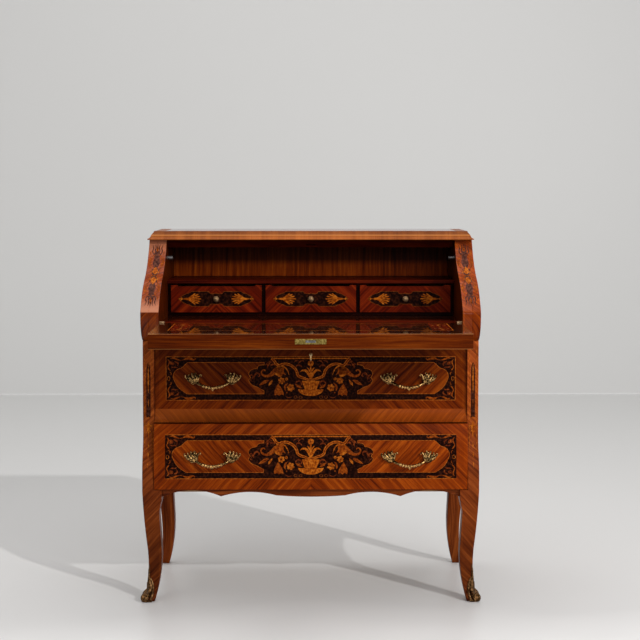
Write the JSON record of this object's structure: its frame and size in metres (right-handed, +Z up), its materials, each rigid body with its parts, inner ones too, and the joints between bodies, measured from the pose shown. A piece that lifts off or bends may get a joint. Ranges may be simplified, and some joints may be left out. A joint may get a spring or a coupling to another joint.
{
  "type": "writing desk",
  "caption": "Slant-front writing desk with marquetry: fall flap open over small drawers, two long drawers below, cabriole legs with bronze shoes.",
  "frame": {"origin": "on the floor under the middle of the desk's box with the flap open", "axes": "+X to the user's right, +Y to the back of the desk, +Z up"},
  "size_m": [0.8928, 0.713, 0.967],
  "materials": {
    "veneer": "french polish",
    "straight_veneer": "straight grain, french polish",
    "carcass_wood": "waxed",
    "cast_bronze": "antique gilt",
    "brass": "worn polish",
    "steel": "dull"
  },
  "bodies": {
    "case": {"right_side": "veneer", "left_side": "veneer", "right_cheek": "veneer", "left_cheek": "veneer", "back_panel": "straight_veneer", "front_rail": "veneer", "interior_floor": "veneer", "dust_board": "carcass_wood", "bottom_board": "carcass_wood", "right_guides": "carcass_wood", "left_guides": "carcass_wood", "strike_rail": "veneer", "top_board": "veneer", "top_moulding": "veneer", "right_front_leg": "veneer", "left_front_leg": "veneer", "right_back_leg": "veneer", "left_back_leg": "veneer", "right_sabot": "cast_bronze", "left_sabot": "cast_bronze", "front_apron": "veneer", "back_apron": "carcass_wood", "right_hinge_fixed_leaf": "brass", "left_hinge_fixed_leaf": "brass", "right_flap_stop": "steel", "left_flap_stop": "steel", "nest_bottom": "carcass_wood", "nest_shelf": "veneer", "nest_uprights": "veneer"},
    "flap": {"flap": "veneer", "flap_lock_plate": "brass", "flap_lock_case": "brass", "right_hinge_moving_leaf": "brass", "left_hinge_moving_leaf": "brass"},
    "flap_bolt": {"flap_lock_bolt": "steel"},
    "upper_drawer": {"upper_drawer_front": "veneer", "upper_drawer_sides": "carcass_wood", "upper_drawer_back": "carcass_wood", "upper_drawer_bottom": "carcass_wood", "upper_left_handle": "cast_bronze", "upper_right_handle": "cast_bronze", "drawer_lock_case": "brass"},
    "lower_drawer": {"lower_drawer_front": "veneer", "lower_drawer_sides": "carcass_wood", "lower_drawer_back": "carcass_wood", "lower_drawer_bottom": "carcass_wood", "lower_left_handle": "cast_bronze", "lower_right_handle": "cast_bronze"},
    "drawer_bolt": {"drawer_lock_bolt": "steel"},
    "key": {"key": "brass"},
    "left_small_drawer": {"left_small_drawer_front": "veneer", "left_small_drawer_box": "carcass_wood", "left_knob": "brass"},
    "middle_small_drawer": {"middle_small_drawer_front": "veneer", "middle_small_drawer_box": "carcass_wood", "middle_knob": "brass"},
    "right_small_drawer": {"right_small_drawer_front": "veneer", "right_small_drawer_box": "carcass_wood", "right_knob": "brass"}
  },
  "joints": [
    {"name": "flap", "type": "hinge", "parent": "case", "child": "flap", "pos_m": [0, -0.0665, 0.7335], "axis": [1, 0, 0], "range_deg": [-141.8, 0]},
    {"name": "upper_drawer", "type": "slide", "parent": "case", "child": "upper_drawer", "axis": [0, -1, 0], "range_m": [0, 0.3]},
    {"name": "lower_drawer", "type": "slide", "parent": "case", "child": "lower_drawer", "axis": [0, -1, 0], "range_m": [0, 0.3]},
    {"name": "left_small_drawer", "type": "slide", "parent": "case", "child": "left_small_drawer", "axis": [0, -1, 0], "range_m": [0, 0.12]},
    {"name": "middle_small_drawer", "type": "slide", "parent": "case", "child": "middle_small_drawer", "axis": [0, -1, 0], "range_m": [0, 0.12]},
    {"name": "right_small_drawer", "type": "slide", "parent": "case", "child": "right_small_drawer", "axis": [0, -1, 0], "range_m": [0, 0.12]},
    {"name": "key", "type": "hinge", "parent": "upper_drawer", "child": "key", "pos_m": [0, -0.0315, 0.646], "axis": [0, -1, 0], "range_deg": [0, 90]},
    {"name": "drawer_bolt", "type": "slide", "parent": "upper_drawer", "child": "drawer_bolt", "axis": [0, 0, 1], "range_m": [0, 0.0088]},
    {"name": "flap_bolt", "type": "slide", "parent": "flap", "child": "flap_bolt", "axis": [0, -1, 0], "range_m": [0, 0.008]}
  ],
  "couplings": [
    {"joint": "drawer_bolt", "follows": "key", "m_per_rad": 0.00509}
  ]
}
